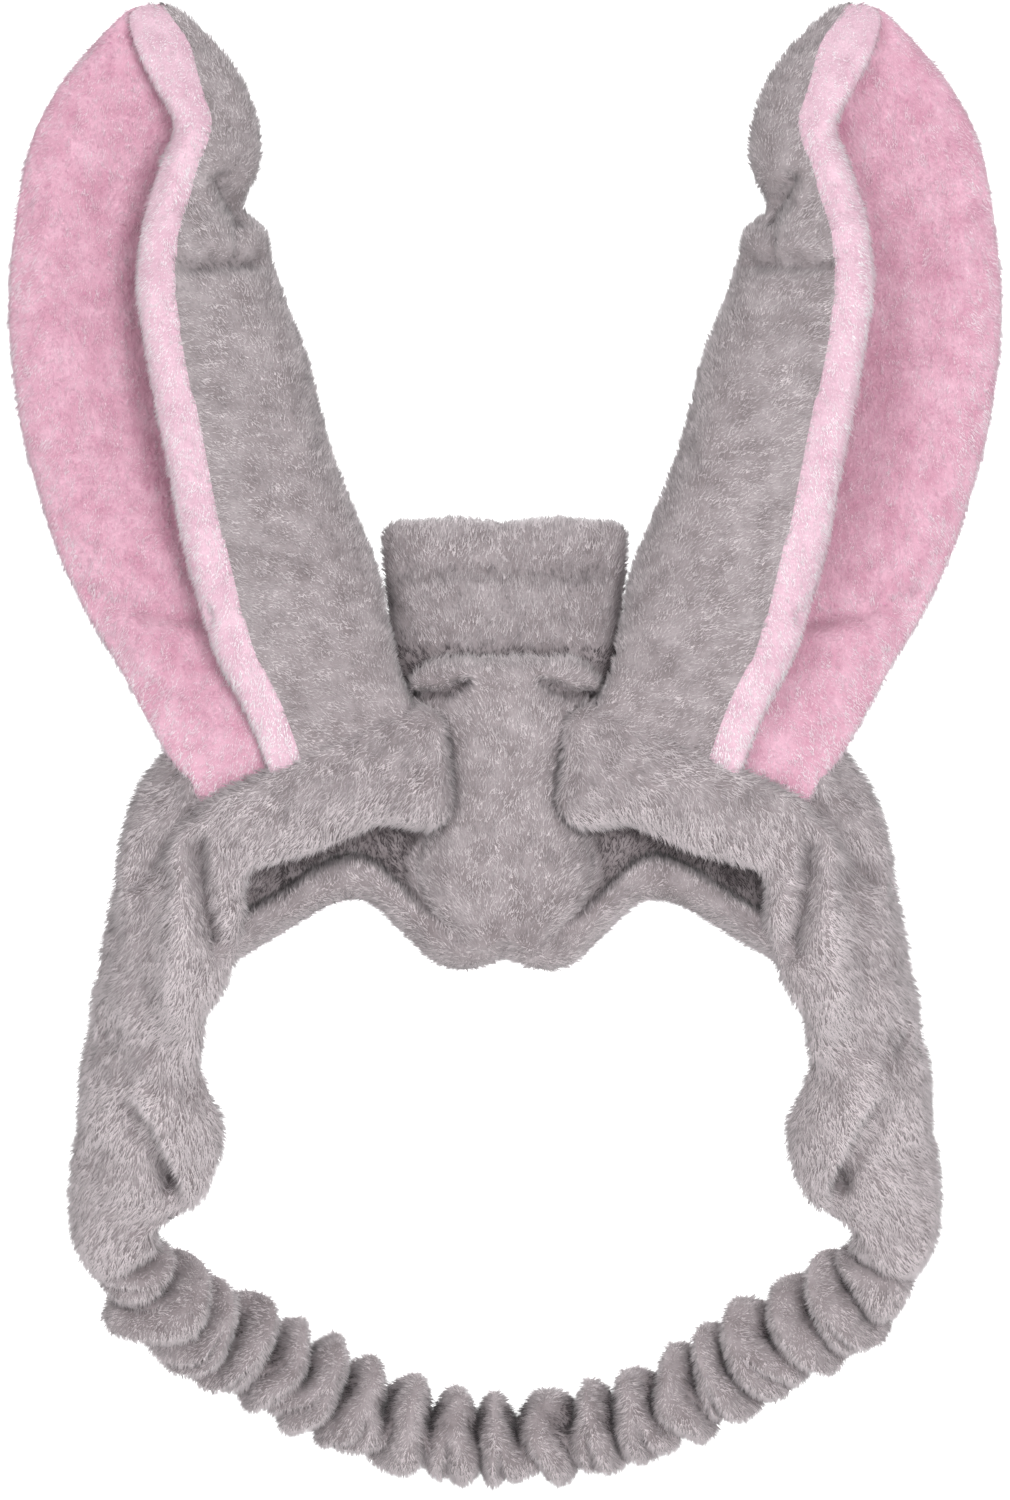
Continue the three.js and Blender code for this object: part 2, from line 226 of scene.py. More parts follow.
def plush_base(name, dark, light):
    """The cloth under the pile: mottled colour, a knitted bump and a soft sheen."""
    made, tree, shader = material(name)
    place = tree.nodes.new("ShaderNodeTexCoord")
    mottle = tree.nodes.new("ShaderNodeTexNoise")
    mottle.inputs["Scale"].default_value = 160
    mottle.inputs["Detail"].default_value = 6
    ramp = tree.nodes.new("ShaderNodeValToRGB")
    ramp.color_ramp.elements[0].position = 0.3
    ramp.color_ramp.elements[0].color = (*dark, 1)
    ramp.color_ramp.elements[1].position = 0.7
    ramp.color_ramp.elements[1].color = (*light, 1)
    grain = tree.nodes.new("ShaderNodeTexNoise")
    grain.inputs["Scale"].default_value = 1400
    grain.inputs["Detail"].default_value = 3
    bump = tree.nodes.new("ShaderNodeBump")
    bump.inputs["Strength"].default_value = 0.6
    bump.inputs["Distance"].default_value = 0.0006
    rough = tree.nodes.new("ShaderNodeMapRange")
    rough.inputs["To Min"].default_value = 0.8
    rough.inputs["To Max"].default_value = 1.0
    link = tree.links.new
    link(place.outputs["Object"], mottle.inputs["Vector"])
    link(place.outputs["Object"], grain.inputs["Vector"])
    link(mottle.outputs["Fac"], ramp.inputs["Fac"])
    link(ramp.outputs["Color"], shader.inputs["Base Color"])
    link(grain.outputs["Fac"], bump.inputs["Height"])
    link(grain.outputs["Fac"], rough.inputs["Value"])
    link(rough.outputs["Result"], shader.inputs["Roughness"])
    link(bump.outputs["Normal"], shader.inputs["Normal"])
    shader.inputs["Sheen Weight"].default_value = BASE_SHEEN
    shader.inputs["Sheen Roughness"].default_value = 0.5
    shader.inputs["Specular IOR Level"].default_value = 0.15
    return made


def pile_tones(name, dark, light, count):
    """The pile's fibres, from a dark tone to a light one: each fibre takes one of them."""
    tones = []
    for k in range(count):
        share = k / (count - 1)
        made, _, shader = material(f"{name}_{k}")
        colour = [a + (b - a) * share for a, b in zip(dark, light)]
        shader.inputs["Base Color"].default_value = (*colour, 1)
        shader.inputs["Roughness"].default_value = 0.85
        shader.inputs["Specular IOR Level"].default_value = 0.2
        shader.inputs["Sheen Weight"].default_value = PILE_SHEEN
        shader.inputs["Sheen Roughness"].default_value = 0.4
        tones.append(made)
    return tones


GREY_BASE = plush_base("plush_grey_base", (0.20, 0.17, 0.175), (0.34, 0.30, 0.31))
PINK_BASE = plush_base("plush_pink_base", (0.48, 0.24, 0.32), (0.62, 0.37, 0.46))
# The rim's base is a paler copy of the pink base: a painted highlight on the rim.
RIM_HIGHLIGHT_BASE = plush_base("plush_rim_highlight_base", (0.54, 0.34, 0.42), (0.66, 0.46, 0.54))
# The grey pile's darkest tones are reached mostly where shade is painted into it.
GREY_TONES = pile_tones("plush_grey_pile", (0.10, 0.084, 0.089), (0.75, 0.68, 0.70), 10)
PINK_TONES = pile_tones("plush_pink_pile", (0.59, 0.26, 0.39), (0.90, 0.85, 0.88), 8)


# ---- Meshes --------------------------------------------------------------------------
def new_object(name, vertices, faces, materials):
    """A smooth-shaded object from vertices in millimetres."""
    mesh = bpy.data.meshes.new(name)
    mesh.from_pydata((np.asarray(vertices) * MM).tolist(), [], faces)
    mesh.update()
    for item in materials:
        mesh.materials.append(item)
    mesh.shade_smooth()
    made = bpy.data.objects.new(name, mesh)
    bpy.context.collection.objects.link(made)
    return made


def shell_faces(rows, columns, wrap):
    """Faces of a closed shell whose outer and inner skins are grids of rows by columns."""
    size = rows * columns
    last = columns if wrap else columns - 1
    faces = []
    for j in range(rows - 1):
        for i in range(last):
            k = (i + 1) % columns
            a, b = j * columns + i, j * columns + k
            c, d = b + columns, a + columns
            faces.append((a, b, c, d))
            faces.append((size + a, size + d, size + c, size + b))
    for i in range(last):
        k = (i + 1) % columns
        faces.append((i, size + i, size + k, k))
        top = (rows - 1) * columns
        faces.append((top + i, top + k, size + top + k, size + top + i))
    if not wrap:
        for j in range(rows - 1):
            a, d = j * columns, (j + 1) * columns
            faces.append((a, d, size + d, size + a))
            b, c = a + columns - 1, d + columns - 1
            faces.append((b, size + b, size + c, c))
    return faces


def cloth(name, skin, surface, wrap=False, other=None, part=None):
    """A closed layer of cloth: its outer face is the skin, and its backing lies inside that.
    Where part, a value for each face of the skin, is true it has the other surface."""
    outer, normals = skin[..., :3].reshape(-1, 3), skin[..., 3:].reshape(-1, 3)
    vertices = np.concatenate([outer, outer - normals * CLOTH])
    surfaces = [surface] if other is None else [surface, other]
    made = new_object(name, vertices, shell_faces(*skin.shape[:2], wrap), surfaces)
    if other is not None:
        slots = np.zeros(len(made.data.polygons), np.int32)
        slots[:2 * part.size] = np.repeat(part.ravel(), 2)
        made.data.polygons.foreach_set("material_index", slots)
    made.data.normals_split_custom_set_from_vertices(np.concatenate([normals, -normals]))
    return made


def pile(name, skin, tones, length, lean, comb, wrap=False, swirl=0.6, grain=(1, 1, 1),
         mottle=0.08, bias=None):
    """The pile on a skin: one closed, pointed spike for each tuft of fibres. grain stretches
    the tufts into rows. bias, given at each point of the skin's grid, paints light and shade
    into the pile's tone there, making it lighter or darker."""
    seed = sum(map(ord, name))
    rng = np.random.default_rng(seed)
    if bias is None:
        bias = np.zeros(skin.shape[:2])
    if wrap:
        skin = np.concatenate([skin, skin[:, :1]], axis=1)
        bias = np.concatenate([bias, bias[:, :1]], axis=1)
    grid, normals = skin[..., :3], skin[..., 3:]
    a, b, c, d = grid[:-1, :-1], grid[:-1, 1:], grid[1:, 1:], grid[1:, :-1]
    areas = 0.5 * np.linalg.norm(np.cross(c - a, d - b), axis=-1)
    run = np.cumsum(areas.ravel())
    count = int(run[-1] * PILE_DENSITY)
    cell = np.searchsorted(run, rng.random(count) * run[-1])
    j, i = np.unravel_index(np.minimum(cell, areas.size - 1), areas.shape)
    s, t = rng.random((2, count, 1))

    def mix(field):
        return ((field[j, i] * (1 - s) + field[j, i + 1] * s) * (1 - t)
                + (field[j + 1, i] * (1 - s) + field[j + 1, i + 1] * s) * t)

    root, normal = mix(grid), unit(mix(normals))
    grained = root * np.asarray(grain, float)
    comb = np.broadcast_to(np.asarray(comb, float), normal.shape)
    flat = unit(comb - normal * np.sum(comb * normal, -1, keepdims=True) + 1e-6)
    side = np.cross(normal, flat)
    turn = (swirl * (noise(root, 9.0, seed + 1) + 0.4 * noise(root, 3.5, seed + 2))
            + rng.normal(0, 0.3, count))[:, None]
    # the direction in which the fibres lie, with no painted light in it
    nap = flat * np.cos(turn) + side * np.sin(turn)
    tilt = (lean + 0.12 * noise(root, 5.0, seed + 3) + rng.normal(0, 0.14, count))[:, None]
    reach = length * (1 + 0.1 * noise(root, 4.0, seed + 4)) * rng.uniform(0.75, 1.2, count)
    tuft = noise(grained, TUFT, seed + 6)
    gather = [noise(grained + step, TUFT, seed + 6) - tuft for step in TUFT_STEP * np.eye(3)]
    gather = np.stack(gather, axis=-1) * TUFT_PULL
    direction = unit((normal * np.cos(tilt) + nap * np.sin(tilt)) * reach[:, None] + gather)
    first = unit(np.cross(direction, rng.normal(0, 1, (count, 3))))
    second = np.cross(direction, first)
    foot = root - normal * PILE_ROOT
    thick = (PILE_WIDTH * rng.uniform(0.75, 1.3, count))[:, None]
    ring = [foot + thick * (first * math.cos(k) + second * math.sin(k))
            for k in (0.0, 2 * math.pi / 3, 4 * math.pi / 3)]
    tip = root + direction * reach[:, None]
    vertices = np.stack([*ring, tip], axis=1).reshape(-1, 3)
    lit = [unit(normal * 0.75 + 0.45 * (point - foot) / thick) for point in ring]
    lit.append(unit(normal * 0.65 + direction * 0.45))
    shade = np.stack(lit, axis=1).reshape(-1, 3)
    corners = np.array([[0, 1, 3], [1, 2, 3], [2, 0, 3], [0, 2, 1]])
    faces = (np.arange(count)[:, None, None] * 4 + corners[None]).reshape(-1, 3)
    tone = 0.5 + mottle * noise(root, 7.0, seed + 5) + 0.24 * tuft + rng.normal(0, 0.11, count)
    # bias paints light and shade into each spike's tone
    tone = tone + mix(bias[..., None])[:, 0]
    slot = np.clip((tone * len(tones)).astype(int), 0, len(tones) - 1)

    mesh = bpy.data.meshes.new(name)
    mesh.vertices.add(len(vertices))
    mesh.vertices.foreach_set("co", (vertices * MM).astype(np.float32).ravel())
    mesh.loops.add(faces.size)
    mesh.loops.foreach_set("vertex_index", faces.astype(np.int32).ravel())
    mesh.polygons.add(len(faces))
    mesh.polygons.foreach_set("loop_start", np.arange(0, faces.size, 3, dtype=np.int32))
    for item in tones:
        mesh.materials.append(item)
    mesh.polygons.foreach_set("material_index", np.repeat(slot, 4).astype(np.int32))
    mesh.update()
    mesh.shade_smooth()
    mesh.normals_split_custom_set_from_vertices(shade)
    made = bpy.data.objects.new(name, mesh)
    bpy.context.collection.objects.link(made)
    return made


# ---- Cloth simulation ----------------------------------------------------------------
SIM_SCALE = 0.01           # simulated metres for each millimetre
SIM_FRAMES = 20
SIM_CELL = 3.5             # size of the simulated mesh's cells
SETTLE_MOST = 2.5          # no point of the cloth settles further than this


def settled(grid, slack, pressure):
    """The skin after its padding has pressed it out between its seams: a simulated cloth,
    cut a share slack larger than its outline and held at its border."""
    rows, columns = grid.shape[:2]
    lengthwise, _ = edge_distance(grid[:, [columns // 2]], 0)
    crosswise, _ = edge_distance(grid[[rows // 2]], 1)
    down = np.linspace(0, lengthwise[-1, 0], int(lengthwise[-1, 0] / SIM_CELL) + 2)
    over = np.linspace(0, crosswise[0, -1], int(crosswise[0, -1] / SIM_CELL) + 2)
    down = np.unique(np.searchsorted(lengthwise[:, 0], down - 1e-6))
    over = np.unique(np.searchsorted(crosswise[0], over - 1e-6))
    coarse = grid[np.ix_(down, over)] * SIM_SCALE
    count = len(over)
    faces = [(j * count + i, j * count + i + 1, (j + 1) * count + i + 1, (j + 1) * count + i)
             for j in range(len(down) - 1) for i in range(count - 1)]
    mesh = bpy.data.meshes.new("settling")
    mesh.from_pydata(coarse.reshape(-1, 3).tolist(), [], faces)
    model = bpy.data.objects.new("settling", mesh)
    bpy.context.collection.objects.link(model)
    border = np.ones(coarse.shape[:2], bool)
    border[1:-1, 1:-1] = False
    held = model.vertex_groups.new(name="held")
    held.add(np.flatnonzero(border).tolist(), 1.0, "REPLACE")
    swell = model.modifiers.new("swell", "CLOTH")
    settings = swell.settings
    settings.quality = 6
    settings.vertex_group_mass = "held"
    settings.use_pressure = True
    settings.uniform_pressure_force = pressure
    settings.shrink_min = -slack
    settings.bending_stiffness = 0.2
    settings.effector_weights.gravity = 0
    swell.collision_settings.use_collision = False
    swell.point_cache.frame_end = SIM_FRAMES
    scene = bpy.context.scene
    for step in range(1, SIM_FRAMES + 1):
        scene.frame_set(step)
    result = model.evaluated_get(bpy.context.evaluated_depsgraph_get()).data
    ended = np.empty(len(result.vertices) * 3)
    result.vertices.foreach_get("co", ended)
    scene.frame_set(1)
    bpy.data.objects.remove(model)
    moved = ended.reshape(coarse.shape) / SIM_SCALE - coarse / SIM_SCALE
    far = np.linalg.norm(moved, axis=-1, keepdims=True)
    moved = moved / np.maximum(far / SETTLE_MOST, 1)
    across = np.stack([[np.interp(np.arange(columns), over, row[:, k]) for k in range(3)]
                       for row in moved])
    full = np.stack([[np.interp(np.arange(rows), down, across[:, k, i]) for k in range(3)]
                     for i in range(columns)])
    return grid + full.transpose(2, 0, 1)


# ---- Camera, light and stage ---------------------------------------------------------
FLOOR_GAP = 0.0055         # metres below the stretched casing, as room for its pile
STAGE_SIDE = 8.0           # metres: the floor's reach to the front and to each side
STAGE_BACK = 7.0           # where the floor bends up, behind any view of the part
STAGE_BEND = 1.2
STAGE_HEIGHT = 6.0
CAMERA_DISTANCE = 6.0
VIEW_HEIGHT = 0.375        # metres of the part's plane that fill the frame from top to bottom
VIEW_CENTRE = (0, -0.012, -0.0025)


def camera():
    data = bpy.data.cameras.new("camera")
    made = bpy.data.objects.new("camera", data)
    bpy.context.collection.objects.link(made)
    data.sensor_width = 36
    data.lens = data.sensor_width * CAMERA_DISTANCE / VIEW_HEIGHT
    data.clip_end = 50
    made.location = (VIEW_CENTRE[0], VIEW_CENTRE[1] - CAMERA_DISTANCE, VIEW_CENTRE[2])
    made.rotation_euler = (math.pi / 2, 0, 0)
    bpy.context.scene.camera = made


def area_light(name, place, aim, size, power):
    data = bpy.data.lights.new(name, "AREA")
    data.shape = "DISK"
    data.size = size
    data.energy = power
    made = bpy.data.objects.new(name, data)
    bpy.context.collection.objects.link(made)
    made.location = place
    toward = np.asarray(aim, float) - np.asarray(place, float)
    pitch = math.atan2(math.hypot(toward[0], toward[1]), -toward[2])
    yaw = math.atan2(toward[1], toward[0]) - math.pi / 2
    made.rotation_euler = (pitch, 0, yaw)


def stage():
    stretch = JOINTS["nape_stretch"]
    floor_z = CAD_BOX[0][2] + stretch["axis"][2] * stretch["range_m"][1] - FLOOR_GAP
    made, _, shader = material("pale_stage")
    shader.inputs["Base Color"].default_value = (0.93, 0.93, 0.93, 1)
    shader.inputs["Roughness"].default_value = 0.9
    bend = np.linspace(0, math.pi / 2, 14)
    depth = [-STAGE_SIDE, *(STAGE_BACK + STAGE_BEND * np.sin(bend)), STAGE_BACK + STAGE_BEND]
    height = [0.0, *(STAGE_BEND - STAGE_BEND * np.cos(bend)), STAGE_HEIGHT]
    vertices, faces = [], []
    for y, z in zip(depth, height):
        for x in (-STAGE_SIDE, STAGE_SIDE):
            vertices.append((x / MM, y / MM, (floor_z + z) / MM))
    for k in range(len(depth) - 1):
        faces.append((2 * k, 2 * k + 1, 2 * k + 3, 2 * k + 2))
    new_object("stage", vertices, faces, [made])


def studio():
    camera()
    stage()
    world = bpy.data.worlds.new("studio")
    bpy.context.scene.world = world
    world.use_nodes = True
    world.node_tree.nodes["Background"].inputs["Color"].default_value = (1, 1, 1, 1)
    world.node_tree.nodes["Background"].inputs["Strength"].default_value = 0.58
    area_light("key", (-1.1, -1.8, 1.2), (0, 0, 0), 1.0, 16)
    area_light("fill", (0.6, -2.3, 0.25), (0, 0, -0.1), 0.9, 34)
    area_light("floor", (0, 1.5, 1.9), (0, 0.9, -0.1), 2.0, 40)
    area_light("backdrop", (0, 4.0, 3.5), (0, STAGE_BACK + STAGE_BEND, -0.2), 3.0, 260)
    bpy.context.scene.view_settings.view_transform = "Standard"


# ---- Ears ----------------------------------------------------------------------------
PILE_ROOM = 1.0            # how far the pile stands off the cloth, seen from the side
EAR_ROWS = 170
EAR_LEAN = 0.09            # how far the ears lean back for each millimetre of height
SEAM_TILT = 0.435          # the ears' base seams climb towards the middle
SEAM_UP = np.array([-math.sin(SEAM_TILT), 0, math.cos(SEAM_TILT)])
EAR_HINGE = np.array(JOINTS["ear_left_tilt"]["pos_m"])

# Stations up the ear, from inside the band to the tip, measured from the base hinge:
# outer edge (x, z), inner fold (x, z) and free edge (x, z), as the finished outline.
EAR_OUTER = [(-23, -21), (-35, -3.5), (-44, 13), (-54, 30), (-61.5, 48), (-68, 71),
             (-71.7, 94), (-72.2, 110), (-71.8, 118), (-71.2, 124), (-70.3, 130), (-68.4, 141),
             (-65.2, 151), (-59, 162), (-51.5, 171.5), (-44.5, 178.5), (-40, 181.5)]
EAR_FOLD = [(31, 4), (27.5, 15), (25.5, 26), (23.3, 40), (19, 53), (11.4, 74),
            (6.5, 94.5), (0.4, 110), (-2.6, 118.5), (-4.2, 125), (-10.2, 131), (-6.9, 141),
            (-7.4, 151), (-11.3, 162), (-18.4, 171.5), (-25.5, 178.5), (-30, 181.5)]
EAR_FREE = [(-6, -13), (-12.5, 3), (-20, 18), (-25, 34), (-29, 49), (-33.5, 72),
            (-37.7, 94), (-39.8, 110), (-39.5, 118), (-38.8, 124), (-37, 130), (-33.8, 141),
            (-30.6, 151), (-36, 162), (-40.5, 171.5), (-42, 178.5), (-38.5, 181.5)]
# The same stations: depth of outer edge, valley, fold and free edge, the fold's radius,
# half the padded thickness, and the width of the pink rim in front of the free edge.
EAR_DEPTHS = [(-3, -2, -4, -7, 2.3, 2.0, 8), (-0.5, 2, -2, -8.5, 4.0, 3.2, 8.5),
              (2.5, 6, -1, -11, 6, 4.6, 9), (4, 10.5, 1, -11, 7, 5.2, 9),
              (4, 11.5, 1, -13, 7.5, 5.3, 9), (3, 13, 2, -16, 8, 5.4, 8.5),
              (3, 13, 2, -16, 8, 5.4, 8), (3, 12.5, 2, -15, 7.5, 5.2, 8),
              (3, 12, 2, -13.5, 7, 4.9, 8), (3, 12, 2, -13.5, 7.5, 5, 8),
              (3, 11.5, 2, -12, 6.5, 4.6, 8), (3, 11, 2, -10, 6, 4.4, 8),
              (4, 9.5, 2, -8, 5.2, 4.0, 8), (4, 7.5, 2, -5, 4.2, 3.4, 11),
              (4, 6, 2.5, -2.5, 3, 2.4, 13), (3, 4, 2.5, 0.5, 1.8, 1.6, 10),
              (2.5, 3, 2.5, 2, 0.6, 0.5, 5)]
LINER_TURN = 2.5           # the pink liner turns this far round the ear's outer edge
EAR_SPLIT = 0.37           # the ear's lower and upper pieces meet here, below the crease
TIP_ROUNDING = 0.025       # the share of the ear's height in which its tip closes
TIP_SHUT = 0.30            # what is left of its section at the very end
PINK_COLUMNS = 96
GREY_COLUMNS = 80


def ear_section(v):
    """The padded section at v, from 0 at the foot to 1 at the tip, as two rows of points:
    the pink cloth, from behind the outer edge to the end of the rim, and the grey cloth,
    from there back behind the ear."""
    outer, fold, free = (spline(line, v) for line in (EAR_OUTER, EAR_FOLD, EAR_FREE))
    y_outer, y_valley, y_fold, y_free, radius, half, rim = spline(EAR_DEPTHS, v)
    x_outer = outer[0] + PILE_ROOM
    x_fold = fold[0] - PILE_ROOM - half
    x_free = free[0] + PILE_ROOM
    radius = min(radius, 0.5 * max(x_fold - x_outer, 1.0))
    rise = (fold[1] - outer[1]) / (fold[0] - outer[0])

    def at(x, y):
        return (x, y, outer[1] + rise * (x - outer[0]))

    valley_x = x_outer + 0.55 * (x_fold - x_outer)
    bones = [at(x_outer, y_outer), at(valley_x, y_valley), at(x_fold - radius, y_fold + radius),
             at(x_fold, y_fold), at(x_fold - radius, y_fold - radius), at(x_free, y_free)]
    middle, run = respaced(spline(bones, np.linspace(0, 1, 160)), 220)
    up = unit(SEAM_UP + (np.array([0, 0, 1.0]) - SEAM_UP) * smooth(0.0, 0.25, v))
    normal = unit(np.cross(np.gradient(middle, axis=0), up))
    share = np.linspace(0, 1, 220)
    distance = share * run
    swell = half * round_edge(distance, 9.0 * half / 5) * round_edge(run - distance, 5.2 * half / 5)
    pink_side = middle + normal * swell[:, None]
    grey_side = (middle - normal * swell[:, None])[::-1]
    rim_end = np.searchsorted(distance, min(rim, 0.5 * run))
    turned = len(distance) - 1 - np.searchsorted(distance, min(LINER_TURN, 0.1 * run))
    pink = np.concatenate([grey_side[turned:-1], pink_side, grey_side[1:rim_end + 1]])
    grey = grey_side[rim_end:turned + 1]
    return respaced(pink, PINK_COLUMNS)[0], respaced(grey, GREY_COLUMNS)[0]


def ear_grids():
    """The left ear's pink and grey skins, as grids of rows from its foot to its tip, and
    how light the grey one's pile is, with painted shade in its crease and dent."""
    v = np.linspace(0, 1, EAR_ROWS)
    rows = [ear_section(share) for share in v]
    grids = []
    for side in (0, 1):
        grid = np.stack([row[side] for row in rows])
        grid[..., 1] += EAR_LEAN * grid[..., 2]
        grids.append(grid + EAR_HINGE / MM)
    centre = np.concatenate(grids, axis=1).mean(axis=1, keepdims=True)
    closing = TIP_SHUT + (1 - TIP_SHUT) * round_edge(1 - v, TIP_ROUNDING)[:, None, None]
    grids = [centre + (grid - centre) * closing for grid in grids]
    pink = settled(grids[0], 0.002, 0.3)
    grey = settled(grids[1], 0.002, 1.5)
    joined = [smooth(0, 5, np.minimum(*edge_distance(grid, 1))) for grid in (pink, grey)]
    lift = 0.6 * noise(pink, 26, 11) + 0.15 * noise(pink, 9, 12)
    soft_fold = 2.6 * np.exp(-(near_line(pink, [(-101, 35), (-76, 31)]) / 3.2) ** 2)
    front = smooth(0, 0.6, -grid_normals(pink)[..., 1])
    pink = pushed(pink, (lift - soft_fold * front) * joined[0])
    lift = 0.5 * noise(grey, 26, 13) + 0.15 * noise(grey, 9, 14)
    front = smooth(0, 0.6, -grid_normals(grey)[..., 1])
    crease = 3.0 * np.exp(-(near_line(grey, [(-84, 119), (-57, 120)]) / 2.4) ** 2)
    dent = 2.6 * np.exp(-(near_line(grey, [(-71, 140), (-66, 131)]) / 2.2) ** 2)
    fold = (crease + dent) * front
    grey = pushed(grey, (lift - fold) * joined[1])
    # painted shade: the grey pile darker in the crease and the dent
    return pink, grey, 0.08 - 0.09 * fold


def rim_of(grid):
    """1 on the liner's rim, which turns forward at the ear's free edge, and 0 behind it."""
    columns = grid.shape[1]
    turn = columns // 2 + np.argmin(grid[:, columns // 2:, 0], axis=1)
    return smooth(-0.04, 0.02, (np.arange(columns) - turn[:, None]) / columns)


def liner_bias(grid):
    """Across the liner the pile is painted palest on the rim, a painted highlight, and deepest in
    the fold behind it, painted shade; it is also lighter on the edge turned round the outer side and
    towards the foot, and darker overall.
    """
    share = np.linspace(0, 1, grid.shape[1])
    return (0.44 * rim_of(grid) - 0.28 * np.exp(-((share - 0.70) / 0.16) ** 2)
            + 0.24 * smooth(0.16, 0.03, share) + 0.16 * smooth(30, 5, grid[..., 2]) - 0.18)


# how the pile lies on the left ear's two cloths
EAR_PILES = {
    "liner": {"tones": PINK_TONES, "length": 1.7, "lean": 1.05, "swirl": 0.3,
              "grain": (1, 1, 0.4), "mottle": 0.04},
    "back": {"tones": GREY_TONES, "length": 1.9, "lean": 0.95, "swirl": 0.35,
             "grain": (0.45, 0.45, 1.3), "mottle": 0.05}}
EAR_COMBS = {"liner": (-0.3, 0, -1), "back": (-0.8, 0, 0.3)}


def build_ears():
    pink, grey, grey_shades = ear_grids()
    rim, pink_shades = rim_of(pink) > 0.5, liner_bias(pink)
    pink, grey = skin_of(pink), skin_of(grey)
    split = int(EAR_SPLIT * (EAR_ROWS - 1))
    for side, sign in (("left", 1), ("right", -1)):
        mirror = np.array([sign, 1, 1])
        for part, whole, shades in (("liner", pink, pink_shades), ("back", grey, grey_shades)):
            if side == "right":
                whole, shades = mirrored(whole), shades[:, ::-1]
            for piece, rows in (("", slice(0, split + 1)), ("_tip", slice(split, None))):
                node = f"ear_{side}{piece}_{part}"
                if part == "liner":
                    # the rim's faces take the paler base, a painted highlight
                    pale = rim[rows][:-1, 1:] if side == "left" else rim[rows][:-1, :0:-1]
                    skin = cloth(f"{node}_cloth", whole[rows], PINK_BASE, other=RIM_HIGHLIGHT_BASE, part=pale)
                else:
                    skin = cloth(f"{node}_cloth", whole[rows], GREY_BASE)
                fuzz = pile(f"{node}_pile", whole[rows], comb=EAR_COMBS[part] * mirror,
                            bias=shades[rows], **EAR_PILES[part])
                hidden = ("padding", "wire") if part == "back" else ()
                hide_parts(node, *(f"ear_{side}{piece}_{inside}" for inside in hidden))
                for item in (skin, fuzz):
                    if piece:
                        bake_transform(item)
                    else:
                        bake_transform(item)


# ---- Band: crown, forehead and side panels -------------------------------------------
PANEL_COLUMNS = 150
PANEL_ROWS = 100
STRAP_COLUMNS = 72
STRAP_ROWS = 240

# (x, z) of the forehead panel's hem and brim, from the middle outwards
HEM = [(0, -54), (5, -56.2), (10, -57.4), (15, -56.6), (19, -54.2), (26.5, -46.8), (33, -41),
       (39.5, -40), (47.5, -43), (57, -49), (76.5, -60.5)]
BRIM = [(0, 20.3), (10, 20.6), (18, 20), (23.5, 15), (27, 3), (33, -4), (42, -9), (53, -14),
        (76.5, -22)]
# (z, half width) of the column that stands forward in the middle of the forehead panel
COLUMN = [(-60, 8), (-50, 12), (-48, 14), (-42, 18), (-36.4, 20.3), (-30.7, 21.2), (-24, 18.8),
          (-16.3, 13.6), (-9.6, 13.1), (-1, 15), (8.5, 21), (14, 27), (24, 30)]

# Stations along the left side panel, from beside the column, under the ear and down the
# strap: its inner or lower edge (x, y, z), then its outer or upper edge (x, y, z).
SIDE_INNER = [(-13, -11, -15), (-18, -12, -21.5), (-30.3, -13, -20.8), (-38, -13, -23.6),
              (-47.5, -13, -27.5), (-57, -13, -30.2), (-63.5, -12, -32.2), (-65.6, -11, -37),
              (-65.4, -9.5, -43), (-66.8, -7, -50), (-70, -1, -60), (-75.5, 8, -69),
              (-77.3, 15, -79), (-74.8, 22, -88), (-71.8, 28, -96), (-71.8, 33, -102),
              (-74.6, 37, -107.5), (-81.5, 41.5, -111), (-88.5, 45.5, -117.5), (-88.5, 51.5, -129)]
SIDE_OUTER = [(-15, -11, 1), (-21, -9, 8.5), (-32, -7, 9.5), (-42, -6, 7.5), (-54, -5, 4),
              (-68, -3, 1), (-82, -2, -2), (-90.5, -1, -13.5), (-95.5, 0, -27), (-98, 3, -39),
              (-101, 10, -54), (-103.5, 18, -67.5), (-105.6, 27, -82), (-106.8, 34, -94),
              (-107.8, 38, -101), (-108.6, 42, -109.5), (-108.4, 46, -117.5), (-107, 50, -125),
              (-102.6, 53, -131), (-96, 54.5, -133)]
SIDE_BULGE = 3.0
DEEPEST_FOLD = 0.3         # a fold's depth, as a share of the panel's thickness
# The left side panel's creases, seen from the front: a line of (x, z) points, the depth
# and the width. A crease of negative depth is a ridge.
SIDE_CREASES = [([(-78.7, -16.5), (-86, -25), (-93.6, -35)], 3.2, 3),
                ([(-77.4, -26), (-75.2, -42), (-71.2, -52)], 5.6, 3.2),
                ([(-80, -24), (-80.5, -46), (-83, -60), (-79, -77)], -2.6, 4.2),
                ([(-88, -36), (-92, -58), (-88, -76)], 2.2, 5.5),
                ([(-100, -73), (-98, -81)], 2.8, 5.0)]
# the fold that divides the strap's end into two lobes, and the way across it in x and z
LOBE_FOLD = [(-97, -89), (-90, -98), (-86.5, -105), (-84, -112)]
LOBE_ACROSS = (0.84, 0.54)
EAR_SEAT = 8.5             # how far the side panel falls back behind the ear's foot

CROWN_FOOT = 14            # height of the crown panel's hidden lower edge
CROWN_TOP = 54.3
CROWN_HALF = 5.5           # half the crown panel's padded thickness
FOREHEAD_HALF = 4.5
COLUMN_STAND = 6.5         # how far the column stands forward
HEM_ROLL = 5.5             # half the height of the forehead panel's rolled hem
HEM_STAND = 4.6
BRIM_HEIGHT = 16.5         # of the fold that stands forward below the crown panel
BRIM_STAND = 2.5
RECESS = 2.4               # how far the cloth beside the column sinks
BAND_PILE = 2.1            # length of the pile on the crown and forehead panels
STRAP_PILE = 2.8


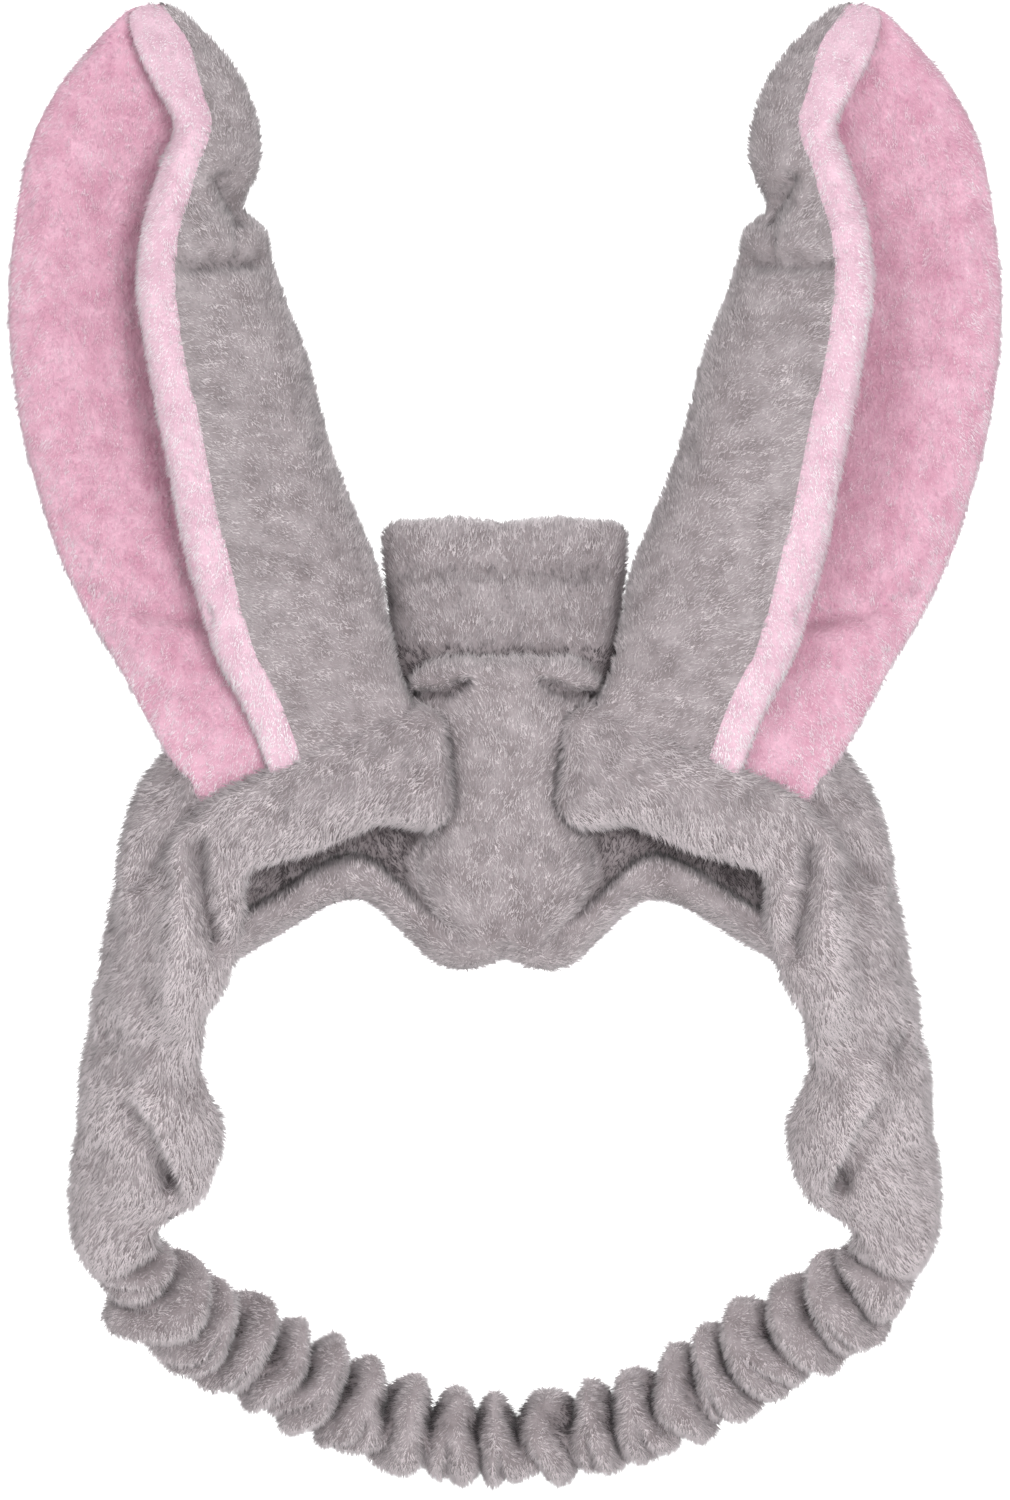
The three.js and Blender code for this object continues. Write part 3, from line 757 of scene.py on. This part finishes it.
def crown_grids():
    """The crown panel's front and back skins, each with the light and shade painted into its pile.
    """
    rise = eased(PANEL_ROWS)[:, None]
    across = np.linspace(-1, 1, PANEL_COLUMNS)[None, :]
    top = (CROWN_TOP + 0.5 * np.exp(-((np.abs(across) - 0.4) / 0.25) ** 2)
           - 2.0 * smooth(0.84, 1.02, np.abs(across)) ** 2)
    height = CROWN_FOOT + (top - CROWN_FOOT) * rise
    half_width = 28 + 2 * smooth(15.5, 52, height)
    depth = -2 + 13 * rise**1.4 + 6 * across**2
    middle = np.stack([across * half_width, depth + 0 * across, height], axis=-1)
    front, back = (settled(grid, 0.006, 2.0) for grid in pillow(middle, CROWN_HALF, 6, 8, 5.5))
    lift = groove(front, [(-24, 42.5), (24, 42.5)], 1.6, 3.0) + 0.5 * noise(front, 14, 21)
    beside = smooth(0.72, 1.0, np.abs(front[..., 0]) / half_width) * smooth(46, 26, front[..., 2])
    # painted shade in the crease, a painted shadow of the ears beside them and painted shade where
    # the panel tucks behind the forehead's brim; below, a painted highlight along the top
    nap = 0.1 * lift - 0.08 - 0.3 * beside - 0.55 * smooth(24.5, 21, front[..., 2])
    return (pushed(front, lift), nap + 0.07 * smooth(42, 50, front[..., 2])), (back, None)


def forehead_grids():
    """The forehead panel's front and back skins, each with the light and shade painted into its
    pile.
    """
    across = np.linspace(-1, 1, PANEL_COLUMNS * 2)
    x = HEM[-1][0] * across
    hem = np.interp(np.abs(x), *spline(HEM, np.linspace(0, 1, 200)).T)
    brim = np.interp(np.abs(x), *spline(BRIM, np.linspace(0, 1, 200)).T)
    rise = eased(PANEL_ROWS)[:, None]
    z = hem + (brim - hem) * rise
    depth = -5 + 5 * smooth(4, 20, np.abs(x)) + 8 * (x / 64) ** 2 - 10.5 * smooth(54, 75, np.abs(x))
    middle = np.stack([x + 0 * z, depth + 0 * z, z], axis=-1)
    front, back = (settled(grid, 0.004, 1.0) for grid in pillow(middle, FOREHEAD_HALF, 4, 5.5, 4))
    aside, level = np.abs(front[..., 0]), front[..., 2]
    width = 1.04 * np.interp(level, *np.array(COLUMN).T)
    stand = COLUMN_STAND * np.sqrt(np.clip(1 - (aside / width) ** 4, 0, 1))
    above = level - np.interp(aside, x[PANEL_COLUMNS:], hem[PANEL_COLUMNS:])
    roll = HEM_STAND * np.sqrt(np.clip(1 - ((above - HEM_ROLL) / HEM_ROLL) ** 2, 0, 1))
    recess = smooth(8.5, 12, above) * smooth(0, 5, aside - width)
    # painted shade, deepest in the recess beside the column and under the wings, a little on the hem
    # roll and all over
    nap = -0.08 * smooth(9, 5, above) - 0.8 * recess - 0.05
    front[..., 1] -= np.maximum(stand * smooth(0, 5, above), roll)
    front[..., 1] -= BRIM_STAND * np.exp(-((level - BRIM_HEIGHT) / 4) ** 2) * smooth(30, 22, aside)
    for sign in (-1, 1):
        tuck = groove(front, [(sign * 25, 10.4), (sign * 16.5, 11.1), (sign * 10, 13.8)], 3.0, 1.7)
        front = pushed(front, tuck)
        # painted shade in the tuck
        nap = nap + 0.18 * tuck
    front[..., 1] += RECESS * recess
    return (pushed(front, 0.5 * noise(front, 14, 22)), nap), (back, None)


def side_grids():
    """The left side panel's front and back skins, each with the light and shade painted into its
    pile.
    """
    v = np.linspace(0, 1, STRAP_ROWS)
    u = eased(STRAP_COLUMNS)[None, :, None]
    inner, outer = spline(SIDE_INNER, v)[:, None], spline(SIDE_OUTER, v)[:, None]
    middle = inner * (1 - u) + outer * u
    middle[..., 1] -= SIDE_BULGE * (1 - (2 * u[..., 0] - 1) ** 2)
    half = 6.2 + 1.3 * smooth(0.4, 0.7, v)[:, None]
    front, back = (settled(grid, 0.02, 1.6) for grid in pillow(middle, half, 7.5, 8, 6))
    back = relaxed(back, smooth(0.72, 0.8, v)[:, None, None])
    # above the ear's seam the front falls back, and the ear's foot stands before it
    hinge = EAR_HINGE / MM
    above = ((front[..., 0] - hinge[0]) * SEAM_UP[0] + (front[..., 2] - hinge[2]) * SEAM_UP[2]) + 6.0
    front[..., 1] += EAR_SEAT * smooth(-80, -72, front[..., 0]) * smooth(-3.0, 1.5, above)
    lift = sum(groove(front, *crease) for crease in SIDE_CREASES)
    # beside: how far towards the front lobe a point lies, and past: how far down the fold
    beside = (front[..., 0] + 96.2) * LOBE_ACROSS[0] + (front[..., 2] + 91) * LOBE_ACROSS[1]
    past = ((front[..., 0] - LOBE_FOLD[0][0]) * LOBE_ACROSS[1]
            - (front[..., 2] - LOBE_FOLD[0][1]) * LOBE_ACROSS[0])
    near = np.exp(-(near_line(front, LOBE_FOLD) / 7.0) ** 2) * smooth(0, 9, past)
    crease = groove(front, LOBE_FOLD, 5.5, 1.8) * smooth(-2, 6, past)
    spare = np.linalg.norm(front - back[:, ::-1], axis=-1)
    sunk = np.minimum(near * 3.4 * smooth(0.5, -1.5, beside), DEEPEST_FOLD * spare)
    moved = sunk - near * 4.2 * smooth(-0.5, 1.5, beside)
    edge = np.minimum(*edge_distance(front, 1))
    front[..., 1] += moved
    back[..., 1] += (moved * smooth(7, 0, edge))[:, ::-1]
    lift = np.maximum(lift + crease, sunk - 2 * DEEPEST_FOLD * spare)
    lift = (lift + 0.9 * noise(front, 17, 23) + 0.4 * noise(front, 7, 24)) * smooth(0, 3, edge)
    # painted shade in the creases and the lobes' fold, painted light on the front lobe and on the
    # strap's lower part
    nap = 0.06 * lift + 0.04 * crease + 0.24 * near * smooth(-0.5, 3, beside)
    nap = nap + 0.15 * smooth(-10, -38, front[..., 2]) - 0.05
    nap = nap + 0.1 * smooth(0, 4, beside) * smooth(-86, -94, front[..., 2])
    return (pushed(front, lift), nap), (pushed(back, 0.8 * noise(back, 15, 25)), None)


def dress(node, skin, length, comb, hidden=(), wrap=False, lean=0.95, nap=None):
    """The grey cloth and pile that stand for a CAD node and for the hidden ones inside it.
    Its pile is painted lighter overall and more so wherever the cloth turns down, a painted light
    from below, and takes any painted light and shade given."""
    layer = cloth(f"{node}_cloth", skin, GREY_BASE, wrap)
    # painted light: lighter pile overall and where the cloth faces down, plus the light and shade
    # painted by each part
    bias = 0.13 + 0.36 * smooth(0.15, 0.9, -skin[..., 5]) + (0 if nap is None else nap)
    fuzz = pile(f"{node}_pile", skin, GREY_TONES, length, lean, comb, wrap, bias=bias)
    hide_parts(node, *hidden)
    return layer, fuzz


def dress_panel(panel, grids, length, comb, inside, mirror=False):
    """A padded panel's outer cloth and its lining, which also stands for the nodes inside."""
    for part, (grid, nap) in zip(("outer", "lining"), grids):
        skin = skin_of(grid)
        if mirror:
            skin = mirrored(skin)
            nap = None if nap is None else nap[:, ::-1]
        hidden = inside if part == "lining" else ()
        layer, fuzz = dress(f"{panel}_{part}", skin, length, comb, hidden, nap=nap)
        for item in (layer, fuzz):
            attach(item, "headband")


def build_band():
    panels = (("crown_panel", crown_grids()), ("forehead_panel", forehead_grids()))
    for panel, grids in panels:
        dress_panel(panel, grids, BAND_PILE, (0, 0, 1), (f"{panel}_padding",))
    grids = side_grids()
    for side, sign in (("left", 1), ("right", -1)):
        inside = (f"side_panel_{side}_padding", f"elastic_anchor_{side}", f"ear_{side}_base_seam")
        dress_panel(f"side_panel_{side}", grids, STRAP_PILE, (-0.6 * sign, 0, -0.8), inside,
                    mirror=side == "right")


# ---- Gathered casing -----------------------------------------------------------------
CASING_LINE = [(-95.5, 51, -125), (-91.5, 55.5, -136.5), (-83.5, 61, -143.5),
               (-73, 67.5, -149), (-53, 76, -160.5), (-33, 81.5, -170.5), (-10, 85, -175.5)]
NAPE_SHARE = 0.405         # where the nape section begins, along the elastic
RUFFLE_PITCH = 12.5
CASING_PILE = 1.9


def casing_grid():
    """The whole gathered tube, from the left strap round to the right, and the light and shade
    painted into its pile: painted shade in the gathers and painted light on the ruffles."""
    line = CASING_LINE + [(-x, y, z) for x, y, z in reversed(CASING_LINE)]
    rows = 620
    path, length = respaced(spline(line, np.linspace(0, 1, 600)), rows)
    tangent = unit(np.gradient(path, axis=0))
    side = unit(np.cross(tangent, np.array([0.0, 1.0, 0.0])))
    front = np.cross(side, tangent)
    columns = 56
    turn = np.linspace(0, 2 * math.pi, columns, endpoint=False)[None, :, None]
    outward = side[:, None] * np.sin(turn) + front[:, None] * np.cos(turn)
    run = np.linspace(0, length, rows)[:, None]
    around = path[:, None] + outward * 9
    low = smooth(-0.2, 0.9, -outward[..., 2])
    waver = 3.0 * noise(around, 19, 31) + 1.8 * noise(around, 8, 32)
    slant = 2.4 * np.cos(turn[..., 0]) * np.tanh((run - length / 2) / 15)
    ruffle = np.abs(np.sin(math.pi * (run + waver - slant) / RUFFLE_PITCH)) ** 0.9
    fine = np.abs(np.sin(math.pi * (run + 1.4 * waver - slant) / (0.6 * RUFFLE_PITCH))) ** 0.8
    middle = np.abs(2 * run / length - 1)
    tall = 9.2 + 2.0 * smooth(0.3, 0.75, middle) + 2.6 * noise(around, 13, 33)
    radius = 2.0 + (1 - 0.6 * low) * tall * ruffle + 5.6 * low * fine**0.6 + 2.4 * low
    radius = radius * (0.55 + 0.45 * smooth(1.0, 0.86, middle)) + 0.5 * noise(around, 5, 34)
    # the pile's painted light and shade: darker overall, lighter where the ruffles stand out
    return path[:, None] + outward * radius[..., None], 0.87 * smooth(4, 11, radius) - 0.82


def build_casing():
    grid, nap = casing_grid()
    whole = np.concatenate([skin_of(grid, wrap=True), nap[..., None]], axis=-1)
    rows = len(whole)
    first, last = int(NAPE_SHARE * rows), rows - 1 - int(NAPE_SHARE * rows)
    pieces = {"left": whole[:first + 1], "nape": whole[first:last + 1], "right": whole[last:]}
    for part, piece in pieces.items():
        layer, fuzz = dress(f"casing_{part}", piece[..., :6], CASING_PILE, (0, 0, -1),
                            (f"elastic_{part}",), wrap=True, lean=0.7, nap=piece[..., 6])
        for item in (layer, fuzz):
            if part == "nape":
                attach(item, "nape_strap")
            else:
                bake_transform(item)


studio()
build_ears()
build_band()
build_casing()
